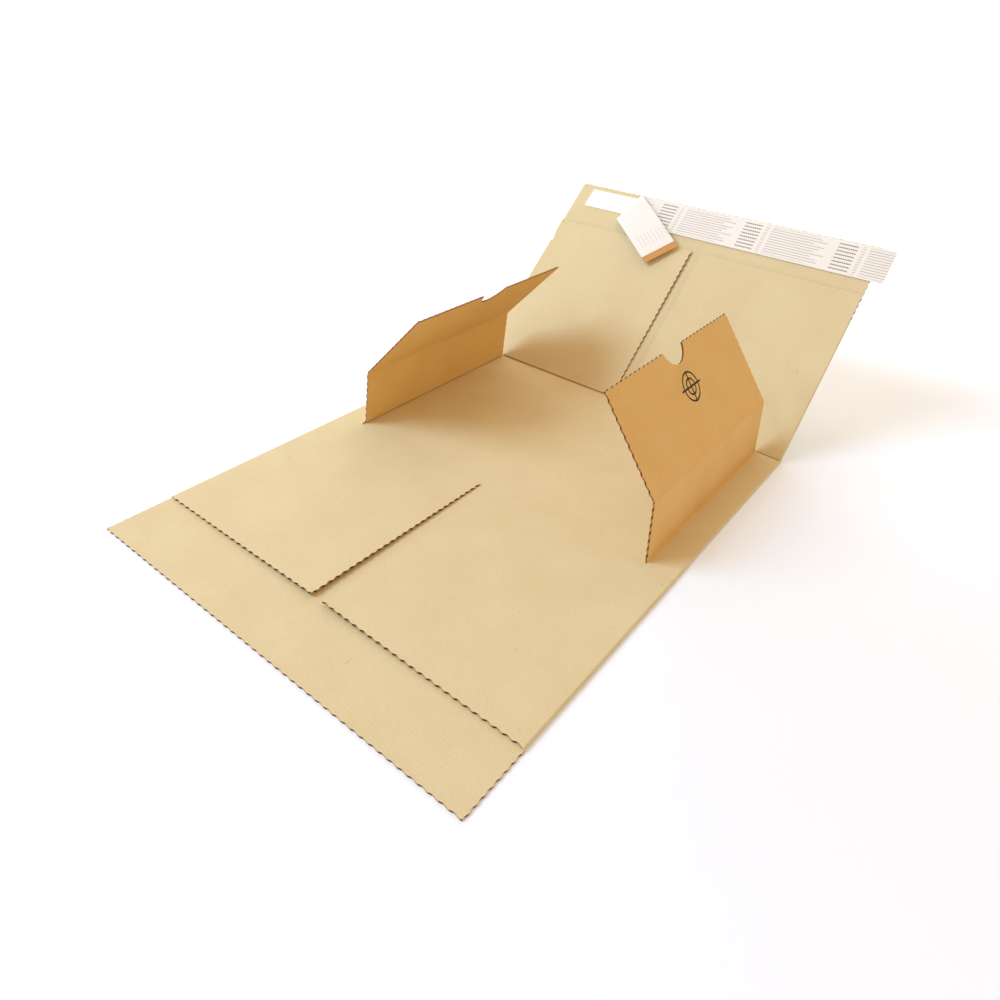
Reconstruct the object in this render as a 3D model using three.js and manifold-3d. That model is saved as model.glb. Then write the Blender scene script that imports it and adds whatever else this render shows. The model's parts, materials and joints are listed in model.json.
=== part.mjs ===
// Wraparound book mailer, folded from one blank of single-wall corrugated board.
//
// Millimetres, +Z up. X runs across the mailer, Y runs along the strip, from the front flap to the
// back flap. The origin is the middle of the base's underside, which lies on the table.
//
// The blank is a long strip with a side panel on each long edge. The side panels are folded in over
// the strip and meet near its middle line. On the front and back flaps they are glued down and make
// them double. Over the base only a border of each panel is glued down. The rest of the panel
// stands up as a wing, a wall and a top flap, and the book lies between the two wings.

import * as THREE from 'three';
import { mergeVertices } from 'three/addons/utils/BufferGeometryUtils.js';
import Module from 'manifold-3d';

const wasm = await Module();
wasm.setup();

// The board
const ply = 1.6; // thickness of the single-wall board
const glueLine = 0.2; // between two plies that are glued face to face
const seat = 0.3; // air that is left between neighbours that touch
const waveLength = 8; // the cutting rules are wavy, so that cut edges are soft to the hand
const waveHeight = 0.65; // from the middle of the wave to its crest
const edgeWaveHeight = 0.4; // the rule round the blank is flatter
const waveSteps = 6;
const scoreWidth = 3; // the creasing rule crushes a groove into the folded side of the board
const scoreDepth = 0.6;

// The strip
const stripWidth = 380;
const baseDepth = 258; // between the two creases
const frontDoor = 215; // from the front crease to the end of the side panels
const backDoor = 210;
const endStrip = 63; // the single ply beyond them
const doorGap = 12.3; // between the side panels, over the middle of the strip
const frontDoorLift = 2.5; // how far the free corners of the panels spring up
const backDoorLift = 1.5;

// The wings
const border = 27.4; // the glued part of the side panel beside a wing
const wallHeight = 58;
const wingStart = 6; // from the front crease to the wing
const wingEnd = 2; // from the wing to the back crease
const notchWidth = 40; // thumb notch in the edge of each top flap
const notchDepth = 16;

// The tear tab at the left edge of the back flap
const tabStart = 175; // the folded edge ends here
const tabRecess = 3.5;
const slitAt = 208;
const slitLength = 9;
const slitDrop = 4.5; // the slit slopes down from the edge
const slitWidth = 1;

// The adhesive strip and its paper liner, on the end of the back flap
const adhesiveWidth = 27;
const adhesiveInset = 6.5; // from the end of the back flap
const adhesiveStart = 18; // from the left edge
const adhesiveThickness = 0.3;
const linerWidth = 43;
const linerInset = 1.5; // from the end of the back flap
const linerThickness = 0.25;
const linerOverhang = 12; // past the right edge
const peelAt = 84; // from the left edge to where the liner is folded back
const peelSkew = 19; // degrees that the fold is turned from square
const peelRadius = 3;
const peelRise = 8; // degrees that the peeled end stands up from the fold
const peelDroop = 13; // degrees that it then curls down
const peelLength = 92; // of the peeled end
const pullTabLength = 8.5; // kraft paper past the liner's end
const pullTabLap = 6;

// How the parts stand in the photographed state, in degrees
const backFlapAngle = 43.5;
const rightWallLean = 4.7; // inwards
const leftWallLean = 0.5;
const rightTopTilt = 53; // of the top flap above the level
const leftTopTilt = 50.5;

// Worked out from the above
const half = stripWidth / 2;
const frontCrease = -baseDepth / 2;
const backCrease = baseDepth / 2;
const boardTop = 2 * ply + glueLine; // top of two glued plies
const bendRadius = boardTop / 2;
const bendStart = half - bendRadius;
const cutEdge = half - edgeWaveHeight; // middle of the wavy cut along a side
const doorEdge = doorGap / 2;
const wingLength = baseDepth - wingStart - wingEnd;
const nose = ply / 2;
const wingHinge = half - border;
const topWidth = half - doorEdge - border - wallHeight;
const rad = THREE.MathUtils.degToRad;

// Solids

function solidFrom(geometry) {
  const bare = geometry.clone();
  bare.deleteAttribute('normal');
  bare.deleteAttribute('uv');
  const merged = mergeVertices(bare, 1e-4);
  return new wasm.Manifold(new wasm.Mesh({
    numProp: 3,
    vertProperties: new Float32Array(merged.attributes.position.array),
    triVerts: new Uint32Array(merged.index.array),
  }));
}

function geometryFrom(solid) {
  const mesh = solid.getMesh();
  const geometry = new THREE.BufferGeometry();
  geometry.setAttribute('position', new THREE.BufferAttribute(mesh.vertProperties, 3));
  geometry.setIndex(new THREE.BufferAttribute(mesh.triVerts, 1));
  geometry.computeVertexNormals();
  return geometry;
}

// A flat outline given as [x, y] pairs, made solid from z = low upwards.
function plate(outline, thickness, low = 0) {
  const shape = new THREE.Shape(outline.map(([x, y]) => new THREE.Vector2(x, y)));
  const geometry = new THREE.ExtrudeGeometry(shape, { depth: thickness, bevelEnabled: false });
  geometry.translate(0, 0, low);
  return solidFrom(geometry);
}

// A section given as [x, z] pairs, run along Y from y = from to y = to.
function run(section, from, to, steps = 1) {
  const shape = new THREE.Shape(section.map(([x, z]) => new THREE.Vector2(x, z)));
  const geometry = new THREE.ExtrudeGeometry(shape, { depth: to - from, bevelEnabled: false, steps });
  geometry.rotateX(Math.PI / 2);
  geometry.translate(0, to, 0);
  return geometry;
}

// Outlines

// The points of a wavy cut from a up to, but not including, b, with a whole number of waves.
function wavyCut(a, b, height = waveHeight) {
  const dx = b[0] - a[0];
  const dy = b[1] - a[1];
  const length = Math.hypot(dx, dy);
  const count = Math.max(1, Math.round(length / waveLength)) * waveSteps;
  const points = [];
  for (let i = 0; i < count; i++) {
    const off = height * Math.sin((2 * Math.PI * i) / waveSteps);
    const t = i / count;
    points.push([a[0] + dx * t - (dy / length) * off, a[1] + dy * t + (dx / length) * off]);
  }
  return points;
}

function arcPoints(cx, cy, radius, from, to, steps) {
  const points = [];
  for (let i = 0; i <= steps; i++) {
    const angle = rad(from + ((to - from) * i) / steps);
    points.push([cx + radius * Math.cos(angle), cy + radius * Math.sin(angle)]);
  }
  return points;
}

// The upper ply from the bend in to innerEdge and back, in a number of spans, so that it can curve.
function upperPly(innerEdge, spans) {
  const span = (bendStart - innerEdge) / spans;
  const top = [];
  for (let i = 1; i <= spans; i++) top.push([bendStart - i * span, boardTop]);
  return [...top, ...top.toReversed().map(([x]) => [x, boardTop - ply])];
}

// Section through a folded side panel: a lap of the strip, the bend, and the panel over it as far
// as innerEdge.
function foldedSection(innerEdge, spans = 1) {
  const lap = 5;
  return [
    [bendStart - lap, 0],
    ...arcPoints(bendStart, bendRadius, bendRadius, -90, 90, 8),
    ...upperPly(innerEdge, spans),
    ...arcPoints(bendStart, bendRadius, glueLine / 2, 90, -90, 4),
    [bendStart - lap, ply],
  ];
}

// Section through a side panel where its fold is cut away.
function looseSection(outerEdge, spans) {
  return [
    [outerEdge, boardTop - ply], [outerEdge, boardTop], [bendStart, boardTop],
    ...upperPly(0, spans),
    [bendStart, boardTop - ply],
  ];
}

function mirrored(section) {
  return section.map(([x, z]) => [-x, z]);
}

// What the creasing rule crushes out of the board's top, across the strip at the given y.
function scoreGroove(y) {
  const rule = [[-scoreWidth / 2, boardTop], [0, boardTop - scoreDepth], [scoreWidth / 2, boardTop]];
  return solidFrom(run(rule, -half, half)).rotate([0, 0, 90]).translate([0, y, 0]);
}

// The base

function basePanel() {
  const from = frontCrease + seat / 2;
  const to = backCrease - seat / 2;
  const stripEdge = [[-bendStart, from], [bendStart, from], [bendStart, to], [-bendStart, to]];
  let solid = plate(stripEdge, ply);
  const side = foldedSection(wingHinge + nose + seat);
  for (const section of [side, mirrored(side)]) solid = solid.add(solidFrom(run(section, from, to)));
  for (const y of [frontCrease, backCrease]) solid = solid.subtract(scoreGroove(y));
  return solid;
}

// The flaps. Each is drawn with its crease on the X axis and its length along +Y.

function raiseFreeCorners(geometry, doorLength, lift) {
  const p = geometry.attributes.position;
  for (let i = 0; i < p.count; i++) {
    if (p.getZ(i) < bendRadius + glueLine / 4) continue;
    const inwards = (bendStart - Math.abs(p.getX(i))) / (bendStart - doorEdge);
    const along = Math.max(0, p.getY(i)) / doorLength;
    if (inwards > 0) p.setZ(i, p.getZ(i) + lift * inwards * inwards * along);
  }
  return geometry;
}

// Both plies of a flap, still uncut at the free edges. They are joined by the fold up to foldEnd.
function doubledStrip(doorLength, foldEnd, lift) {
  const end = doorLength + endStrip + 2 * waveHeight;
  const spans = 7;
  const strip = [
    [-bendStart, seat / 2], [bendStart, seat / 2],
    [bendStart, foldEnd], [half, foldEnd],
    [half, end], [-half, end],
    [-half, foldEnd], [-bendStart, foldEnd],
  ];
  const folded = foldedSection(0, spans);
  const loose = looseSection(half, spans);
  let solid = plate(strip, ply);
  for (const turn of [(section) => section, mirrored]) {
    for (const door of [run(turn(folded), seat / 2, foldEnd, 8), run(turn(loose), foldEnd, end, 4)]) {
      solid = solid.add(solidFrom(raiseFreeCorners(door, doorLength, lift)));
    }
  }
  return solid;
}

// What the wavy rules take off the side panels: the gap between them, and all past their ends.
function doorCuts(doorLength, lift) {
  const low = ply + glueLine / 2;
  const height = ply + glueLine + 2 * lift;
  const past = doorLength + endStrip + waveLength;
  const gap = [
    ...wavyCut([doorEdge, -waveLength], [doorEdge, past]),
    [doorEdge, past],
    ...wavyCut([-doorEdge, past], [-doorEdge, -waveLength]),
    [-doorEdge, -waveLength],
  ];
  const beyond = [
    ...wavyCut([-half - waveLength, doorLength], [half + waveLength, doorLength]),
    [half + waveLength, doorLength], [half + waveLength, past], [-half - waveLength, past],
  ];
  return [plate(gap, height, low), plate(beyond, height, low)];
}

function cutFlap(doorLength, foldEnd, lift, outline) {
  let solid = doubledStrip(doorLength, foldEnd, lift);
  for (const cut of [...doorCuts(doorLength, lift), scoreGroove(0)]) solid = solid.subtract(cut);
  return solid.intersect(plate(outline, boardTop + 2 * lift + 2, -1));
}

function frontFlap() {
  const end = frontDoor + endStrip;
  const clear = half + 1;
  const foldEnd = frontDoor + waveHeight;
  const outline = [
    [clear, 0], [clear, foldEnd],
    ...wavyCut([cutEdge, foldEnd], [cutEdge, end], edgeWaveHeight),
    ...wavyCut([cutEdge, end], [-cutEdge, end], edgeWaveHeight),
    ...wavyCut([-cutEdge, end], [-cutEdge, foldEnd], edgeWaveHeight),
    [-cutEdge, foldEnd], [-clear, foldEnd], [-clear, 0],
  ];
  return cutFlap(frontDoor, foldEnd, frontDoorLift, outline);
}

// The finger tab: the edge steps in, swells out again, and ends at a sloping slit.
function tearTab() {
  const edge = -half;
  const swell = new THREE.QuadraticBezierCurve(
    new THREE.Vector2(edge, slitAt),
    new THREE.Vector2(edge - 1, (slitAt + tabStart) / 2),
    new THREE.Vector2(edge + tabRecess, tabStart + 2),
  );
  return [
    [edge, slitAt + slitWidth],
    [edge + slitLength, slitAt - slitDrop + slitWidth / 2],
    ...swell.getPoints(8).map((p) => [p.x, p.y]),
    [edge, tabStart],
  ];
}

function backFlap() {
  const end = backDoor + endStrip;
  const clear = half + 1;
  const outline = [
    [clear, 0], [clear, tabStart],
    ...wavyCut([cutEdge, tabStart], [cutEdge, end], edgeWaveHeight),
    ...wavyCut([cutEdge, end], [-cutEdge, end], edgeWaveHeight),
    ...wavyCut([-cutEdge, end], [-cutEdge, slitAt + 2 * slitWidth], edgeWaveHeight),
    ...tearTab(),
    [-clear, tabStart], [-clear, 0],
  ];
  return cutFlap(backDoor, tabStart, backDoorLift, outline);
}

// The wings. Each panel is drawn with its hinge on the Y axis and its width along +X, and its
// thickness is centred on the XY plane.

function roundedEnds(width) {
  const section = [...arcPoints(width, 0, nose, -90, 90, 6), ...arcPoints(0, 0, nose, 90, 270, 6)];
  return solidFrom(run(section, -wingLength, wingLength));
}

function wingWall() {
  const end = wingLength / 2;
  const low = -nose - seat;
  const high = wallHeight + nose + seat;
  const outline = [
    ...wavyCut([low, -end], [high, -end]),
    [high, -end],
    ...wavyCut([high, end], [low, end]),
    [low, end],
  ];
  return plate(outline, ply, -nose).intersect(roundedEnds(wallHeight));
}

function wingTop() {
  const end = wingLength / 2;
  const low = nose + seat;
  const notch = notchWidth / 2;
  const radius = (notch * notch + notchDepth * notchDepth) / (2 * notchDepth);
  const reach = THREE.MathUtils.radToDeg(Math.asin(notch / radius));
  const centre = topWidth - notchDepth + radius;
  const outline = [
    ...wavyCut([low, -end], [topWidth, -end]),
    ...wavyCut([topWidth, -end], [topWidth, -notch]),
    ...arcPoints(centre, 0, radius, 180 + reach, 180 - reach, 12),
    ...wavyCut([topWidth, notch], [topWidth, end]).slice(1),
    ...wavyCut([topWidth, end], [low, end]),
    [low, end],
  ];
  return plate(outline, ply, -nose);
}

// The adhesive strip and the liner, drawn in the back flap's own frame.

const flapEnd = backDoor + endStrip;
const adhesiveLow = ply + seat;
const linerLow = adhesiveLow + adhesiveThickness + seat;

function adhesiveStrip() {
  const left = -half + adhesiveStart;
  const right = half - 2 * edgeWaveHeight - seat;
  const high = flapEnd - adhesiveInset;
  const low = high - adhesiveWidth;
  return plate([[left, low], [right, low], [right, high], [left, high]], adhesiveThickness, adhesiveLow);
}

// The liner's path across its fold, as distance n beyond the fold and height z, with the slope
// angle there. a is the length of paper past the fold.
function peelPath(a) {
  const bend = rad(180 - peelRise);
  const bendLength = bend * peelRadius;
  if (a <= 0) return { n: a, z: 0, angle: 0 };
  if (a <= bendLength) {
    const t = a / peelRadius;
    return { n: peelRadius * Math.sin(t), z: peelRadius * (1 - Math.cos(t)), angle: t };
  }
  const curl = peelLength / rad(peelDroop);
  const t = (a - bendLength) / curl;
  const from = peelPath(bendLength);
  return {
    n: from.n + curl * (Math.sin(bend + t) - Math.sin(bend)),
    z: from.z - curl * (Math.cos(bend + t) - Math.cos(bend)),
    angle: bend + t,
  };
}

// Where a point of the flat liner comes to lie: u along the liner past the middle of the fold,
// v across it, and h above its underside.
function linerPoint(u, v, h) {
  const skew = rad(peelSkew);
  const across = new THREE.Vector2(-Math.cos(skew), Math.sin(skew));
  const along = new THREE.Vector2(-Math.sin(skew), -Math.cos(skew));
  const flat = new THREE.Vector2(-u, v);
  const path = peelPath(flat.dot(across));
  const n = path.n - h * Math.sin(path.angle);
  const middle = flapEnd - linerInset - linerWidth / 2;
  const b = flat.dot(along);
  return new THREE.Vector3(
    -half + peelAt + across.x * n + along.x * b,
    middle + across.y * n + along.y * b,
    linerLow + path.z + h * Math.cos(path.angle),
  );
}

// A band of the liner between the lengths u0 and u1, low to high above the liner's underside. Its
// cross lines are square to the liner at both ends and lie along the fold between them.
function linerBand(u0, u1, low, high, bends) {
  const edge = linerWidth / 2;
  const skew = rad(peelSkew);
  const lines = [[u0, u0]];
  for (const a of bends) {
    const lean = edge * Math.tan(skew);
    lines.push([a / Math.cos(skew) - lean, a / Math.cos(skew) + lean]);
  }
  lines.push([u1, u1]);
  const positions = [];
  for (const [upper, lower] of lines) {
    for (const [u, v, h] of [[upper, edge, low], [lower, -edge, low], [lower, -edge, high], [upper, edge, high]]) {
      positions.push(...linerPoint(u, v, h).toArray());
    }
  }
  const indices = [0, 2, 1, 0, 3, 2];
  for (let i = 0; i + 1 < lines.length; i++) {
    for (let k = 0; k < 4; k++) {
      const a = 4 * i + k;
      const b = 4 * i + ((k + 1) % 4);
      indices.push(a, b + 4, a + 4, a, b, b + 4);
    }
  }
  const last = 4 * (lines.length - 1);
  indices.push(last, last + 1, last + 2, last, last + 2, last + 3);
  const geometry = new THREE.BufferGeometry();
  geometry.setAttribute('position', new THREE.Float32BufferAttribute(positions, 3));
  geometry.setIndex(indices);
  geometry.computeVertexNormals();
  return geometry;
}

function spread(from, to, count) {
  return Array.from({ length: count }, (_, i) => from + ((to - from) * i) / (count - 1));
}

function releaseLiner() {
  const bendLength = rad(180 - peelRise) * peelRadius;
  const lean = (linerWidth / 2) * Math.tan(rad(peelSkew));
  const start = -(stripWidth - peelAt + linerOverhang);
  const tail = peelLength * Math.cos(rad(peelSkew)) - lean;
  const bends = [...spread(0, bendLength, 13), ...spread(bendLength, tail, 9).slice(1)];
  return linerBand(start, peelLength, 0, linerThickness, bends);
}

function pullTab() {
  const start = peelLength - pullTabLap;
  const end = peelLength + pullTabLength;
  return linerBand(start, end, linerThickness + seat, linerThickness + seat + 0.3, []);
}

// Materials

const kraft = new THREE.MeshStandardMaterial({ color: '#dfc594', roughness: 0.85, metalness: 0 });
const adhesiveFilm = new THREE.MeshStandardMaterial({ color: '#fbfbf8', roughness: 0.45, metalness: 0 });
const siliconePaper = new THREE.MeshStandardMaterial({ color: '#f3f0ec', roughness: 0.5, metalness: 0 });
const kraftPaper = new THREE.MeshStandardMaterial({ color: '#c99550', roughness: 0.8, metalness: 0 });

// The assembly

function part(name, shape, material) {
  const geometry = shape.isBufferGeometry ? shape : geometryFrom(shape);
  const mesh = new THREE.Mesh(geometry, material);
  mesh.name = name;
  return mesh;
}

// A group that sits on a crease and is turned by its heading about Z.
function creaseGroup(x, y, z, turn) {
  const group = new THREE.Group();
  group.position.set(x, y, z);
  group.rotation.z = turn;
  return group;
}

function flapGroup(y, turn, angle, meshes) {
  const heading = creaseGroup(0, y, boardTop, turn);
  const panel = new THREE.Group();
  panel.rotation.x = rad(angle);
  for (const mesh of meshes) {
    mesh.position.z = -boardTop;
    panel.add(mesh);
  }
  heading.add(panel);
  return heading;
}

// turn is 0 for the right wing and half a turn for the left one. Angles are from the level.
function wingGroup(side, turn, lean, tilt, prefix) {
  const middle = frontCrease + wingStart + wingLength / 2;
  const heading = creaseGroup(side * wingHinge, middle, boardTop, turn);
  const wall = new THREE.Group();
  wall.rotation.y = -rad(90 + lean);
  wall.add(part(`${prefix}_wing_wall`, wingWall(), kraft));
  const top = new THREE.Group();
  top.position.x = wallHeight;
  top.rotation.y = -rad(90 - tilt - lean);
  top.add(part(`${prefix}_wing_top`, wingTop(), kraft));
  wall.add(top);
  heading.add(wall);
  return heading;
}

const mailer = new THREE.Group();
mailer.name = 'wraparound_mailer';
mailer.add(part('base_panel', basePanel(), kraft));
mailer.add(flapGroup(frontCrease, Math.PI, 0, [part('front_flap_panel', frontFlap(), kraft)]));
mailer.add(flapGroup(backCrease, 0, backFlapAngle, [
  part('back_flap_panel', backFlap(), kraft),
  part('adhesive_strip', adhesiveStrip(), adhesiveFilm),
  part('release_liner', releaseLiner(), siliconePaper),
  part('liner_pull_tab', pullTab(), kraftPaper),
]));
mailer.add(wingGroup(1, 0, rightWallLean, rightTopTilt, 'right'));
mailer.add(wingGroup(-1, Math.PI, leftWallLean, leftTopTilt, 'left'));
mailer.updateMatrixWorld(true);

export default mailer;
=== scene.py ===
# %% [markdown]
# A wraparound book mailer, dressed for the camera. The imported model already holds the folded blank
# at its real size, with its creases as hinges. This lesson gives every panel the look of kraft
# corrugated board, adds the board that bends round the creases and the printed mark, gives the peeled
# liner its print, and sets up the camera and the light.

# %% The frame
import json
import math

import bpy
from mathutils import Euler, Matrix, Vector


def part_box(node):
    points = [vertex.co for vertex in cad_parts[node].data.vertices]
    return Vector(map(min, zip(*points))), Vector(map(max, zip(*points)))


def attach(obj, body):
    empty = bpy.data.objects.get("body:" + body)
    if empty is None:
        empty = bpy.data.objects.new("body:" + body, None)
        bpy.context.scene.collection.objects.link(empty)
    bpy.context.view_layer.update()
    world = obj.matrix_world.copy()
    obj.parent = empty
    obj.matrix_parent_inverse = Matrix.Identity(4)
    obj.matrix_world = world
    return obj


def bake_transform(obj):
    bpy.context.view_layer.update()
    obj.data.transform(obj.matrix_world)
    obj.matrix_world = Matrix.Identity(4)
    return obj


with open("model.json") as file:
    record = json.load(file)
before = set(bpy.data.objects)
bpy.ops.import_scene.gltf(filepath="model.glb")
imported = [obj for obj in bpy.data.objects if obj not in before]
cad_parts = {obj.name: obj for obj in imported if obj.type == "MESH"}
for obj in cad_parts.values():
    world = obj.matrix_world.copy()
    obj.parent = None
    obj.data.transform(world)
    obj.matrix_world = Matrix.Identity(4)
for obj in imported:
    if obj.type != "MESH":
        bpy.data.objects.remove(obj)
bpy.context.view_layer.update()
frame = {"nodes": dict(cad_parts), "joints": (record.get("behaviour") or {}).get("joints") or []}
MM = 0.001
joints = {j["name"]: j for j in frame["joints"]}
nodes = frame["nodes"]

# %% [markdown]
# The camera comes first, because it decides how fine every other detail has to be. Its place, its
# turn and its focal length were solved from the corners of the mailer in the photograph. The
# picture was cropped off-centre, so the lens is shifted rather than the camera turned, which keeps
# the perspective true.

# %% Camera
CAMERA_PLACE = (0.3412, -0.6574, 0.4254)
CAMERA_TURN = (62.92, -3.14, 40.91)  # degrees about X, Y and Z
SENSOR_MM = 36
LENS_MM = 28.5
LENS_SHIFT = (0.0834, -0.1156)
NEAREST_SEEN = 0.01

bpy.ops.object.select_all(action="DESELECT")
bpy.ops.object.camera_add(location=CAMERA_PLACE, rotation=[math.radians(a) for a in CAMERA_TURN])
camera = bpy.context.object
camera.data.sensor_width = SENSOR_MM
camera.data.lens = LENS_MM
camera.data.shift_x, camera.data.shift_y = LENS_SHIFT
camera.data.clip_start = NEAREST_SEEN
bpy.context.scene.camera = camera
print("camera at", tuple(round(v, 3) for v in camera.location))

# %% [markdown]
# Two helpers serve every material. Colours are written as the hex values that a painter would read
# off a swatch, and one function turns them to the linear values that the renderer wants. The other
# adds one shader node, with its settings and what feeds it.


# %% Colour and node helpers
def linear(hex_colour):
    """An sRGB hex colour as linear RGBA."""
    values = []
    for i in (0, 2, 4):
        c = int(hex_colour[i:i + 2], 16) / 255
        values.append(c / 12.92 if c <= 0.04045 else ((c + 0.055) / 1.055) ** 2.4)
    return (*values, 1.0)


def add_node(tree, kind, inputs=None, **settings):
    """One node: its settings, and for each input a value or the socket that feeds it."""
    node = tree.nodes.new(kind)
    for name, value in settings.items():
        setattr(node, name, value)
    for name, value in (inputs or {}).items():
        if isinstance(value, bpy.types.NodeSocket):
            tree.links.new(value, node.inputs[name])
        else:
            node.inputs[name].default_value = value
    return node


def new_material(name, roughness):
    material = bpy.data.materials.new(name)
    material.use_nodes = True
    tree = material.node_tree
    shader = tree.nodes["Principled BSDF"]
    shader.inputs["Roughness"].default_value = roughness
    return material, tree, shader


def dress(obj, material):
    """Gives a whole object one material."""
    obj.data.materials.clear()
    obj.data.materials.append(material)


# %% [markdown]
# Kraft corrugated board is two brown liners with a wavy medium glued between them. Three things
# give it away. The liner is long-fibred paper, so its colour is mottled and flecked. The flutes
# press through it as a faint washboard. And a cut edge is dark, because light gets lost between the
# flutes; that shade is painted into the edge's colour, as painted shade. All three follow the board
# and not the room, so each panel's pattern is laid out in the panel's own axes: x along the flutes,
# y across them, z through the thickness. The hinges in the frame say where those axes are.

# %% Board sizes and panel axes
PLY = 1.6 * MM
GLUE_LINE = 0.2 * MM
BOARD_TOP = 2 * PLY + GLUE_LINE
FLUTE_PITCH = 3.2 * MM
HALF_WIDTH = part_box("base_panel")[1].x
BEND_START = HALF_WIDTH - BOARD_TOP / 2
BEND_SEAM = 0.05 * MM  # kept clear of the bend when cut edges are looked for
FOLD_END = {"front": 215.6 * MM, "back": 175 * MM}  # the side folds run this far from the creases
BORDER = 27.4 * MM
HINGE_ZONE = 1.5 * MM
WING_ENDS = 3 * MM  # what the waves of the cut take off a wing, at both ends together
BACK_FLAP_ANGLE = math.radians(-joints["back_crease"]["range_deg"][0])
TOP_TILT = {"right": math.radians(53), "left": math.radians(50.5)}
UNDER = Vector((0, 0, BOARD_TOP))
wing_low, wing_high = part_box("right_wing_wall")
WING_LENGTH = wing_high.y - wing_low.y - WING_ENDS


def hinge(name):
    """Where a crease's hinge lies."""
    return Vector(joints[name]["pos_m"])


def wall_lean(side):
    """How far a wall leans from upright at rest, in radians."""
    run = hinge(f"{side}_top_crease") - hinge(f"{side}_wall_crease")
    return math.atan2(abs(run.x), run.z)


def panel_axes(place, turn, cut_zone=None):
    """Where a panel's own axes sit, how they are turned, and where its cut edges are."""
    return {"place": place, "turn": turn, "cut_zone": cut_zone}


def panel_matrix(name):
    """From a panel's own axes to the frame's."""
    axes = PANELS[name]
    return Matrix.Translation(axes["place"]) @ Euler(axes["turn"]).to_matrix().to_4x4()


BACK_TURN = (BACK_FLAP_ANGLE, 0, 0)
BACK_PLACE = hinge("back_crease") - Euler(BACK_TURN).to_matrix() @ UNDER
PANELS = {
    "base_panel": panel_axes(Vector(), (0, 0, 0)),
    "front_flap_panel": panel_axes(hinge("front_crease") - UNDER, (0, 0, math.pi), "front_flap"),
    "back_flap_panel": panel_axes(BACK_PLACE, BACK_TURN, "back_flap"),
}
for side, heading in (("right", 0), ("left", math.pi)):
    wall_turn = math.pi / 2 + wall_lean(side)
    top_turn = math.pi - TOP_TILT[side]
    wall_place, top_place = hinge(f"{side}_wall_crease"), hinge(f"{side}_top_crease")
    PANELS[f"{side}_wing_wall"] = panel_axes(wall_place, (0, -wall_turn, heading), "wall")
    PANELS[f"{side}_wing_top"] = panel_axes(top_place, (0, -top_turn, heading), "top")
print("wall lean, degrees:", {s: round(math.degrees(wall_lean(s)), 1) for s in ("right", "left")})


# %% Pattern helpers
def maths(tree, operation, *values):
    """One step of arithmetic on sockets and numbers."""
    node = add_node(tree, "ShaderNodeMath", operation=operation)
    for socket, value in zip(node.inputs, values):
        if isinstance(value, bpy.types.NodeSocket):
            tree.links.new(value, socket)
        else:
            socket.default_value = value
    return node.outputs[0]


def fade(tree, value, low, high, strongest):
    """0 below low, rising to strongest at high."""
    return add_node(tree, "ShaderNodeMapRange", {
        "Value": value, "From Min": low, "From Max": high, "To Max": strongest,
    }).outputs[0]


def mix_colours(tree, factor, a, b):
    node = add_node(tree, "ShaderNodeMix", data_type="RGBA")
    for socket, value in zip((node.inputs[0], node.inputs[6], node.inputs[7]), (factor, a, b)):
        if isinstance(value, bpy.types.NodeSocket):
            tree.links.new(value, socket)
        else:
            socket.default_value = value
    return node.outputs[2]


def noise(tree, vector, scale, detail, roughness=0.5):
    return add_node(tree, "ShaderNodeTexNoise", {
        "Vector": vector, "Scale": scale, "Detail": detail, "Roughness": roughness,
    }).outputs["Fac"]


def panel_place(tree, axes):
    """The point being shaded, in a panel's own axes."""
    point = add_node(tree, "ShaderNodeTexCoord").outputs["Object"]
    return add_node(tree, "ShaderNodeMapping", {
        "Vector": point, "Location": axes["place"], "Rotation": axes["turn"],
    }, vector_type="TEXTURE").outputs[0]


def panel_facing(tree, axes):
    """The way that the face being shaded looks, in a panel's own axes."""
    face = add_node(tree, "ShaderNodeNewGeometry").outputs["True Normal"]
    face = add_node(tree, "ShaderNodeVectorTransform", {"Vector": face}, vector_type="NORMAL",
                    convert_from="WORLD", convert_to="OBJECT").outputs[0]
    face = add_node(tree, "ShaderNodeMapping", {
        "Vector": face, "Rotation": axes["turn"],
    }, vector_type="TEXTURE").outputs[0]
    return add_node(tree, "ShaderNodeSeparateXYZ", {"Vector": face}).outputs


# %% [markdown]
# The board material is built in three layers. Noise at three sizes mottles the liner: clouds the
# size of a hand, flecks of bark, and single fibres, both stretched along the board. A sine wave
# across the flutes makes the washboard, which comes and goes with the clouds. The third layer shows
# only where the surface faces sideways, as a cut edge does. Bends and creases face sideways too, so
# a mask for each kind of panel leaves them out.
#
# On a wavy cut edge, the flank of each wave that leans one way is painted dark: painted shade for
# the flank turned from the key light. From a step away that reads as a row of dark dashes.

# %% Kraft board
KRAFT_FLECK = "B98F55"
# The dark edge colour is painted shade: it fills the hollows between the flutes of a cut edge, and
# the wave flanks turned from the light.
EDGE_SHADE = "5C1A04"
EDGE_LIGHT = "B3702F"
KRAFT_ROUGHNESS, KRAFT_SHEEN = 0.82, 0.25
CLOUD_SCALE, FIBRE_SCALE, FLECK_SCALE = 22, 900, 420  # per metre
FIBRE_STRETCH = (1, 0.35, 1)
WASHBOARD_TINT = 0.1
GRAIN_DEPTH = 0.04 * MM
MEDIUM_LEVEL, MEDIUM_SWING, MEDIUM_HALF = 0.45, 0.3, 0.1  # shares of a ply and its glue line
LINER_LEVEL = 0.36  # the liners lie further than this from the middle
LAPPED = {"front_flap": 0.5, "back_flap": 0.2, "wall": 0.3, "top": 0.2}
# How strongly the flanks turned from the light are darkened: painted shade.
FLANK_SHADE = 0.9
SHADED_FLANK_LEAN = -0.04  # a flank gets the painted shade where its two sideways parts multiply to less
SIDEWAYS = 0.6


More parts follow.
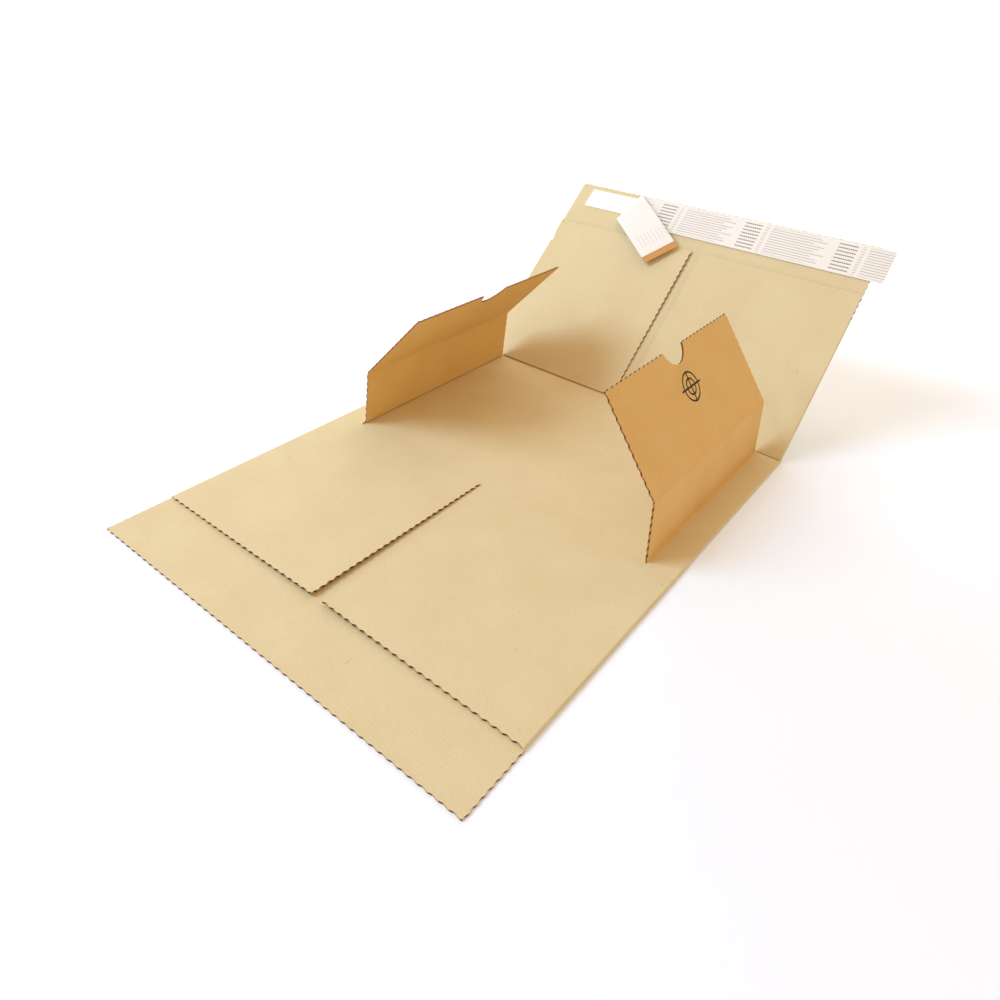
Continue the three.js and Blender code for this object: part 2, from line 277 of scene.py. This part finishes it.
def cut_zone(tree, zone, x, y):
    """1 where a face that points sideways is a cut edge, in a panel's own axes."""
    across, along = maths(tree, "ABSOLUTE", x), maths(tree, "ABSOLUTE", y)
    if zone == "wall":
        return maths(tree, "GREATER_THAN", along, WING_LENGTH / 2)
    if zone == "top":
        return maths(tree, "GREATER_THAN", x, HINGE_ZONE)
    fold_end = FOLD_END[zone.removesuffix("_flap")]
    inside_bend = maths(tree, "LESS_THAN", across, BEND_START - BEND_SEAM)
    past_fold = maths(tree, "GREATER_THAN", along, fold_end)
    off_crease = maths(tree, "MAXIMUM", maths(tree, "GREATER_THAN", along, HINGE_ZONE),
                       maths(tree, "LESS_THAN", across, HALF_WIDTH - BORDER))
    return maths(tree, "MULTIPLY", off_crease, maths(tree, "MAXIMUM", inside_bend, past_fold))


def kraft_board(name, axes, kraft, kraft_deep):
    """Corrugated board between two tones. Without a cut zone it has no cut edges."""
    material, tree, shader = new_material(name, KRAFT_ROUGHNESS)
    shader.inputs["Specular IOR Level"].default_value = KRAFT_SHEEN
    place = panel_place(tree, axes)
    x, y, z = add_node(tree, "ShaderNodeSeparateXYZ", {"Vector": place}).outputs

    clouds = noise(tree, place, CLOUD_SCALE, 3)
    along = add_node(tree, "ShaderNodeMapping", {"Vector": place, "Scale": FIBRE_STRETCH}).outputs[0]
    fibres = noise(tree, along, FIBRE_SCALE, 4, 0.7)
    liner = mix_colours(tree, fade(tree, clouds, 0.35, 0.7, 0.4), linear(kraft), linear(kraft_deep))
    liner = mix_colours(tree, fade(tree, fibres, 0.4, 0.75, 0.6), liner, linear(kraft_deep))
    flecks = fade(tree, noise(tree, along, FLECK_SCALE, 2), 0.7, 0.8, 0.35)
    liner = mix_colours(tree, flecks, liner, linear(KRAFT_FLECK))

    flute = maths(tree, "SINE", maths(tree, "MULTIPLY", y, 2 * math.pi / FLUTE_PITCH))
    washboard = maths(tree, "MULTIPLY", flute, fade(tree, clouds, 0.3, 0.7, 1.0))
    ridges = fade(tree, washboard, -1, 1, WASHBOARD_TINT)
    liner = mix_colours(tree, ridges, liner, linear(KRAFT_FLECK))

    height = maths(tree, "MULTIPLY_ADD", washboard, 0.5, fibres)
    bump = add_node(tree, "ShaderNodeBump", {
        "Height": height, "Strength": 0.5, "Distance": GRAIN_DEPTH,
    })
    tree.links.new(bump.outputs[0], shader.inputs["Normal"])
    tree.links.new(liner, shader.inputs["Base Color"])
    if not axes["cut_zone"]:
        return material

    # Across a cut edge the paper of the liners and the medium keeps the lighter edge colour; the
    # hollows between them are painted dark, as painted shade in the flutes.
    in_ply = maths(tree, "FRACT", maths(tree, "DIVIDE", z, PLY + GLUE_LINE))
    medium = maths(tree, "MULTIPLY_ADD", flute, MEDIUM_SWING, MEDIUM_LEVEL)
    off_medium = maths(tree, "ABSOLUTE", maths(tree, "SUBTRACT", in_ply, medium))
    off_middle = maths(tree, "ABSOLUTE", maths(tree, "SUBTRACT", in_ply, MEDIUM_LEVEL))
    paper = maths(tree, "MAXIMUM", maths(tree, "LESS_THAN", off_medium, MEDIUM_HALF),
                  maths(tree, "GREATER_THAN", off_middle, LINER_LEVEL))
    edge = mix_colours(tree, paper, linear(EDGE_SHADE), linear(EDGE_LIGHT))
    edge = mix_colours(tree, LAPPED[axes["cut_zone"]], edge, liner)
    # The flanks of the waves that lean one way are darkened further: painted shade for the side
    # turned from the key light.
    face_x, face_y, face_z = panel_facing(tree, axes)
    shaded_flank = maths(tree, "LESS_THAN", maths(tree, "MULTIPLY", face_x, face_y), SHADED_FLANK_LEAN)
    edge = mix_colours(tree, maths(tree, "MULTIPLY", shaded_flank, FLANK_SHADE), edge, linear(EDGE_SHADE))
    sideways = maths(tree, "LESS_THAN", maths(tree, "ABSOLUTE", face_z), SIDEWAYS)
    cut = maths(tree, "MULTIPLY", sideways, cut_zone(tree, axes["cut_zone"], x, y))
    tree.links.new(mix_colours(tree, cut, liner, edge), shader.inputs["Base Color"])
    return material


# The wings turn their outer faces from the light, so their board is given a deeper orange tone:
# painted shade, on board that is the same as the panels'.
KRAFT_TONES_WITH_PAINTED_SHADE = {"wing": ("E9C684", "DDB26B"), "panel": ("E2D4AD", "D7C597")}
kraft = {}
for name, axes in PANELS.items():
    tones = KRAFT_TONES_WITH_PAINTED_SHADE["wing" if "wing" in name else "panel"]
    kraft[name] = kraft_board(f"kraft_{name}", axes, *tones)
    dress(nodes[name], kraft[name])
print("panels dressed:", sorted(kraft))

# %% [markdown]
# A crease is a line that the creasing rule has crushed, so that the board bends there and nowhere
# else. The imported model leaves a hair of air at each crease, where its hinge works. A strip of bent
# board closes it. Its section is a smooth curve that leaves one panel, turns at the crease and
# enters the other.

# %% Crease helper
STRIP_COLUMNS, STRIP_ROWS = 40, 16
SHARP = math.radians(40)


def grid_piece(name, columns, rows, place):
    """A grid whose points are placed by place(u, v), with u and v from 0 to 1."""
    bpy.ops.object.select_all(action="DESELECT")
    bpy.ops.mesh.primitive_grid_add(x_subdivisions=columns, y_subdivisions=rows, size=1)
    piece = bpy.context.object
    piece.name = name
    for vertex in piece.data.vertices:
        vertex.co = place(vertex.co.x + 0.5, vertex.co.y + 0.5)
    bpy.ops.object.shade_smooth()
    return piece


def crease_strip(name, curve, length, thickness, material):
    """Bent board along a crease. curve is its section: one panel, the corner, the other panel."""
    first, corner, last = curve
    wing = math.isclose(first.y, last.y, abs_tol=MM / 1000)
    along = Vector((0, 1, 0)) if wing else Vector((1, 0, 0))

    def place(u, v):
        t = 0.5 + 4 * (v - 0.5) ** 3  # rows crowd at the corner, where the strip bends most
        section = first * (1 - t) ** 2 + corner * 2 * t * (1 - t) + last * t * t
        return section + along * (u - 0.5) * length

    strip = grid_piece(name, STRIP_COLUMNS, STRIP_ROWS, place)
    bpy.ops.object.modifier_add(type="SOLIDIFY")
    strip.modifiers["Solidify"].thickness = thickness
    strip.modifiers["Solidify"].offset = 0
    bpy.ops.object.modifier_apply(modifier="Solidify")
    bpy.ops.object.shade_smooth_by_angle(angle=SHARP)
    dress(strip, material)
    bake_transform(strip)
    print("crease strip", name, len(strip.data.polygons), "faces")


# %% Creases of the two flaps
REACH = 2 * MM
STRIP_END = 1 * MM
FLAP_STRIP = 1.5 * MM
SCORE_FILL = 1.3 * MM
PROUD = 0.03 * MM  # the filled groove stands this far above the liner
for name, body, angle in (("front", "front_flap", 0), ("back", "back_flap", BACK_FLAP_ANGLE)):
    way = -1 if name == "front" else 1
    at = hinge(f"{name}_crease")
    base_arm = Vector((0, -way, 0))
    flap_arm = Vector((0, way * math.cos(angle), math.sin(angle)))
    up = Vector((0, 0, 1))
    flap_up = Vector((0, -way * math.sin(angle), math.cos(angle)))
    depth = BOARD_TOP - PLY / 2
    corner = at - (up + flap_up) * depth / (1 + math.cos(angle))
    base_middle = at - up * depth
    flap_middle = at - flap_up * depth
    crease_strip(
        f"{name}_crease_strip",
        (base_middle + base_arm * REACH, corner, flap_middle + flap_arm * REACH),
        2 * (BEND_START - STRIP_END), FLAP_STRIP, kraft["base_panel"])

# In front the board lies flat, and its liner fills the groove where it is double.
groove = hinge("front_crease") - Vector((0, 0, SCORE_FILL / 2 - PROUD))
inner_end = HALF_WIDTH - BORDER - 0.2 * MM
outer_end = BEND_START - 0.1 * MM
ahead = Vector((0, 1, 0))
for side, out in (("left", -1), ("right", 1)):
    middle = groove + Vector((out * (inner_end + outer_end) / 2, 0, 0))
    crease_strip(
        f"front_border_strip_{side}",
        (middle + ahead * REACH, middle, middle - ahead * REACH),
        outer_end - inner_end, SCORE_FILL, kraft["base_panel"])

# %% Creases of the wings
WING_REACH = 1.7 * MM
WALL_STRIP = 1.4 * MM
TOP_STRIP = PLY + 0.08 * MM  # a little over the ply, so that the bend shows as a soft bead
# The wing creases take the wings' deeper tone, which is painted shade.
wing_creases_painted_shade = kraft_board("kraft_wing_creases_painted_shade", PANELS["base_panel"], *KRAFT_TONES_WITH_PAINTED_SHADE["wing"])
for side in ("right", "left"):
    out = 1 if side == "right" else -1
    foot = hinge(f"{side}_wall_crease")
    head = hinge(f"{side}_top_crease")
    wall_arm = (head - foot).normalized()
    tilt = TOP_TILT[side]
    top_arm = Vector((-out * math.cos(tilt), 0, math.sin(tilt)))
    border_arm = Vector((out, 0, 0))
    border_middle = foot - Vector((0, 0, PLY / 2))
    crease_strip(
        f"{side}_wall_crease_strip",
        (border_middle + border_arm * 2 * WING_REACH, foot - wall_arm * PLY / 2,
         foot + wall_arm * WING_REACH),
        WING_LENGTH, WALL_STRIP, wing_creases_painted_shade)
    crease_strip(
        f"{side}_top_crease_strip",
        (head - wall_arm * WING_REACH, head, head + top_arm * WING_REACH),
        WING_LENGTH, TOP_STRIP, wing_creases_painted_shade)

# %% [markdown]
# Mailers carry a small one-colour print on the outer liner, put on by a rubber plate before the
# blank is cut. Here it is a plain register mark, two rings and a cross. It is ink, so it stands up
# from the board by less than a tenth of a millimetre.

# %% Printed mark
MARK_FROM_CREASE = 59 * MM
MARK_ASIDE = 3 * MM
MARK_HEIGHT, MARK_WIDTH = 30 * MM, 38 * MM
RING_SHARES = (0.36, 0.2)  # radii as shares of the width
STROKE = 1.8 * MM
INK = 0.14 * MM  # half of it lies in the board

ink_material, tree, shader = new_material("flexo_ink", 0.7)
shader.inputs["Base Color"].default_value = linear("1B1410")
pieces = []
bpy.ops.object.select_all(action="DESELECT")
for share in RING_SHARES:
    bpy.ops.mesh.primitive_torus_add(
        major_radius=share * MARK_WIDTH, minor_radius=STROKE / 2, major_segments=72, minor_segments=8)
    bpy.context.object.scale.z = INK / STROKE
    pieces.append(bpy.context.object)
for size in ((MARK_HEIGHT, STROKE, INK), (STROKE, MARK_WIDTH, INK)):
    bpy.ops.mesh.primitive_cube_add(size=1, scale=size)
    pieces.append(bpy.context.object)
for piece in pieces:
    piece.select_set(True)
bpy.ops.object.join()
mark = bpy.context.object
mark.name = "printed_mark"
bpy.ops.object.transform_apply()
mark.data.transform(panel_matrix("right_wing_top")
                    @ Matrix.Translation((MARK_FROM_CREASE, MARK_ASIDE, -PLY / 2)))
dress(mark, ink_material)
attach(mark, "right_top")
print("printed mark", len(mark.data.polygons), "faces")

# %% [markdown]
# The adhesive on the end of the back flap is a strip of hot melt under a siliconed paper liner. The
# liner's first stretch is peeled back to show the adhesive, and a band of kraft paper on its end
# gives the fingers a grip. The liner is printed all along with the same block: a column of short
# rippled strokes, a narrow column of rules, and a wide one with a ragged end. The print shows
# weakly through the paper where the liner is folded over, so the pattern is mirrored about the fold
# there.

# %% Adhesive and liner
PEEL_AT = Vector((-106 * MM, 250 * MM, 0))  # middle of the liner's fold, in the back flap's axes
PEEL_SKEW = math.radians(19)
FOLD_LEVEL = 4.5 * MM  # all of the liner above this is the peeled end
PRINT_PITCH = 107 * MM
PRINT_PHASE = 1.665  # where the first block begins, in blocks
PRINT_HEIGHT = 38 * MM
STROKE_PITCH = PRINT_HEIGHT / 8
RULE_PITCH = PRINT_HEIGHT / 11
STROKE_DUTY, RULE_DUTY = 0.26, 0.3
RIPPLE_PITCH = 2.4 * MM
RIPPLE = 0.09
# The columns run between these shares of a block. The wide one's rules end unevenly.
STROKES_AT = (0.0, 0.19)
NARROW_AT = (0.23, 0.265)
WIDE_FROM, WIDE_TO, RAGGED = 0.3, 0.84, 0.07
RAGGED_STEP = 2.4
SHOWS_THROUGH = 0.2
PAPER = "F2EFEB"
PRINT_DARK = "85776C"
PRINT_PALE = "C5BDB6"


def between(tree, value, low, high):
    """1 where the value lies between low and high."""
    return maths(tree, "MULTIPLY", maths(tree, "GREATER_THAN", value, low),
                 maths(tree, "LESS_THAN", value, high))


def rows(tree, across, pitch, duty, wobble=0.0):
    """Lines at a pitch, each a share duty of it wide."""
    step = maths(tree, "FRACT", maths(tree, "ADD", maths(tree, "DIVIDE", across, pitch), wobble))
    off_line = maths(tree, "ABSOLUTE", maths(tree, "SUBTRACT", step, 0.5))
    return maths(tree, "LESS_THAN", off_line, duty / 2)


def printed_liner():
    """Paper with the printed block repeated along it, on its upper faces."""
    material, tree, shader = new_material("siliconed_liner_paper", 0.5)
    place = panel_place(tree, PANELS["back_flap_panel"])
    level = add_node(tree, "ShaderNodeSeparateXYZ", {"Vector": place}).outputs["Z"]
    peeled = maths(tree, "GREATER_THAN", level, FOLD_LEVEL)
    from_fold = add_node(tree, "ShaderNodeMapping", {
        "Vector": place, "Location": -PEEL_AT,
    }).outputs[0]
    mirror = add_node(tree, "ShaderNodeVectorMath", operation="REFLECT")
    tree.links.new(from_fold, mirror.inputs[0])
    mirror.inputs[1].default_value = (-math.cos(PEEL_SKEW), math.sin(PEEL_SKEW), 0)
    flat = add_node(tree, "ShaderNodeMix", {"Factor": peeled}, data_type="VECTOR")
    tree.links.new(from_fold, flat.inputs[4])
    tree.links.new(mirror.outputs[0], flat.inputs[5])
    along, across, _ = add_node(tree, "ShaderNodeSeparateXYZ", {"Vector": flat.outputs[1]}).outputs

    block = maths(tree, "FRACT", maths(tree, "MULTIPLY_ADD", along, 1 / PRINT_PITCH, PRINT_PHASE))
    on_paper = maths(tree, "LESS_THAN", maths(tree, "ABSOLUTE", across), PRINT_HEIGHT / 2)
    ripple = maths(tree, "SINE", maths(tree, "MULTIPLY", along, 2 * math.pi / RIPPLE_PITCH))
    wobble = maths(tree, "MULTIPLY", ripple, RIPPLE)
    strokes = rows(tree, across, STROKE_PITCH, STROKE_DUTY, wobble)
    strokes = maths(tree, "MULTIPLY", strokes, between(tree, block, *STROKES_AT))
    row = maths(tree, "FLOOR", maths(tree, "DIVIDE", across, RULE_PITCH))
    uneven = maths(tree, "SINE", maths(tree, "MULTIPLY", row, RAGGED_STEP))
    rule_end = maths(tree, "MULTIPLY_ADD", uneven, RAGGED, WIDE_TO)
    rules = rows(tree, across, RULE_PITCH, RULE_DUTY)
    wide = maths(tree, "MULTIPLY", rules, between(tree, block, WIDE_FROM, rule_end))
    narrow = maths(tree, "MULTIPLY", rules, between(tree, block, *NARROW_AT))
    rules = maths(tree, "MAXIMUM", wide, narrow)

    upper_face = maths(tree, "GREATER_THAN", panel_facing(tree, PANELS["back_flap_panel"])[2], 0)
    on_paper = maths(tree, "MULTIPLY", on_paper, upper_face)
    showing = maths(tree, "MULTIPLY_ADD", peeled, SHOWS_THROUGH - 1, 1.0)
    strength = maths(tree, "MULTIPLY", on_paper, showing)
    rules = maths(tree, "MULTIPLY", rules, strength)
    strokes = maths(tree, "MULTIPLY", strokes, strength)
    paper = mix_colours(tree, rules, linear(PAPER), linear(PRINT_PALE))
    paper = mix_colours(tree, strokes, paper, linear(PRINT_DARK))
    tree.links.new(paper, shader.inputs["Base Color"])
    return material


adhesive_material, tree, shader = new_material("hot_melt_adhesive", 0.35)
shader.inputs["Base Color"].default_value = linear("FBFBF9")
dress(nodes["adhesive_strip"], adhesive_material)
dress(nodes["release_liner"], printed_liner())
pull_material, tree, shader = new_material("kraft_pull_paper", 0.8)
shader.inputs["Base Color"].default_value = linear("D09A50")
dress(nodes["liner_pull_tab"], pull_material)
print("adhesive, liner and pull tab dressed")

# %% [markdown]
# The set is a white sweep, a sheet of paper that runs flat under the mailer and curves up behind
# it, so that no horizon shows. It is lit a little from below, as on a light table, which keeps it
# white far from the key. A large key light stands to the left and in front, as in the
# photograph, and puts the right wing's outer face in its own shade. The fill comes from all round
# and is warm, like light that a room full of kraft board gives back.

# %% Floor and backdrop
VIEW_HEADING = math.radians(39.3)
SWEEP_WIDTH = 14
FLAT_FRONT, FLAT_BACK = -8, 3.2
COVE_RADIUS = 1.6
WALL_TOP = 4
SWEEP_GLOW = 0.12
COVE_LENGTH = COVE_RADIUS * math.pi / 2
SWEEP_LENGTH = FLAT_BACK - FLAT_FRONT + COVE_LENGTH + WALL_TOP - COVE_RADIUS


def sweep_point(u, v):
    """A point of the sweep: flat floor, then a round cove, then a wall."""
    run = v * SWEEP_LENGTH + FLAT_FRONT
    bend = min(max(run - FLAT_BACK, 0), COVE_LENGTH) / COVE_RADIUS
    back = min(run, FLAT_BACK) + COVE_RADIUS * math.sin(bend)
    rise = COVE_RADIUS * (1 - math.cos(bend)) + max(run - FLAT_BACK - COVE_LENGTH, 0)
    return Vector(((u - 0.5) * SWEEP_WIDTH, back, rise))


sweep = grid_piece("studio_sweep", 2, 120, sweep_point)
sweep.rotation_euler.z = VIEW_HEADING
sweep_material, tree, shader = new_material("white_paper_sweep", 0.9)
shader.inputs["Base Color"].default_value = linear("F4F8FF")
shader.inputs["Emission Color"].default_value = linear("B4DEFF")
shader.inputs["Emission Strength"].default_value = SWEEP_GLOW
dress(sweep, sweep_material)


# %% Light
def area_light(name, place, target, size, power, colour):
    bpy.ops.object.light_add(type="AREA", location=place)
    lamp = bpy.context.object
    lamp.name = name
    lamp.data.size = size
    lamp.data.energy = power
    lamp.data.color = linear(colour)[:3]
    lamp.rotation_euler = (Vector(target) - Vector(place)).to_track_quat("-Z", "Y").to_euler()
    return lamp


LIGHTS = {
    "key": {
        "place": (-2.2, -2.0, 2.6), "target": (0, 0, 0),
        "size": 1.9, "power": 112, "colour": "BFE0FF",
    },
    "backdrop_light": {
        "place": (-0.6, 2.3, 3.2), "target": (-2.7, 4.3, 1.0),
        "size": 3, "power": 170, "colour": "FFFFFF",
    },
}
for name, settings in LIGHTS.items():
    area_light(name, **settings)

# The world fills with warm light, and the camera sees it as white.
world = bpy.data.worlds.new("studio")
world.use_nodes = True
tree = world.node_tree
fill = add_node(tree, "ShaderNodeBackground", {"Color": linear("FFDFB8"), "Strength": 0.76})
seen = add_node(tree, "ShaderNodeBackground", {"Color": linear("FFFDFA"), "Strength": 1.0})
camera_ray = add_node(tree, "ShaderNodeLightPath").outputs["Is Camera Ray"]
both = add_node(tree, "ShaderNodeMixShader", {"Fac": camera_ray})
tree.links.new(fill.outputs[0], both.inputs[1])
tree.links.new(seen.outputs[0], both.inputs[2])
tree.links.new(both.outputs[0], tree.nodes["World Output"].inputs["Surface"])
bpy.context.scene.world = world
bpy.context.scene.view_settings.view_transform = "Standard"
